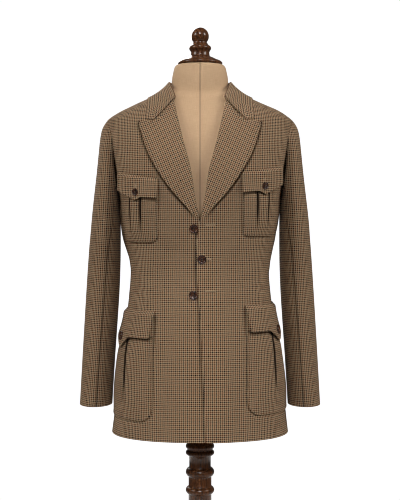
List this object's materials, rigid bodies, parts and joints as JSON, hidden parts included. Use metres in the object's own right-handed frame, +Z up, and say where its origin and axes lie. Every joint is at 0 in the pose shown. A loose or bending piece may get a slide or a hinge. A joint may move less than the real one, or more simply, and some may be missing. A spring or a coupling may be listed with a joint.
{
  "type": "tweed jacket on a dress form",
  "caption": "Brown check tweed jacket with peaked lapels and flapped patch pockets, buttoned on a limbless linen dress form with a turned wooden stand, for show in a shop or dressing room.",
  "frame": {"origin": "on the floor, at the centre of the stand's base", "axes": "+Z up, front of the jacket towards -Y, the wearer's left towards +X"},
  "size_m": [0.5566, 0.38, 1.6059],
  "materials": {
    "tweed": "napped woollen twill in a small check",
    "horn": "polished mottled horn",
    "linen": "plain woven linen over a stiff form",
    "wood": "dark stained, polished, turned hardwood"
  },
  "bodies": {
    "root": {"front_left": "tweed", "front_right": "tweed", "back_left": "tweed", "back_right": "tweed", "sleeve_top_left": "tweed", "sleeve_top_right": "tweed", "sleeve_under_left": "tweed", "sleeve_under_right": "tweed", "lapel_left": "tweed", "lapel_right": "tweed", "collar": "tweed", "chest_pocket_left": "tweed", "chest_pocket_right": "tweed", "hip_pocket_left": "tweed", "hip_pocket_right": "tweed", "chest_flap_left": "tweed", "chest_flap_right": "tweed", "hip_flap_left": "tweed", "hip_flap_right": "tweed", "button_front_upper": "horn", "button_front_middle": "horn", "button_front_lower": "horn", "button_chest_left": "horn", "button_chest_right": "horn", "button_hip_left": "horn", "button_hip_right": "horn", "dress_form": "linen", "neck_cap": "wood", "stand_pole": "wood", "stand_base": "wood"}
  },
  "joints": []
}
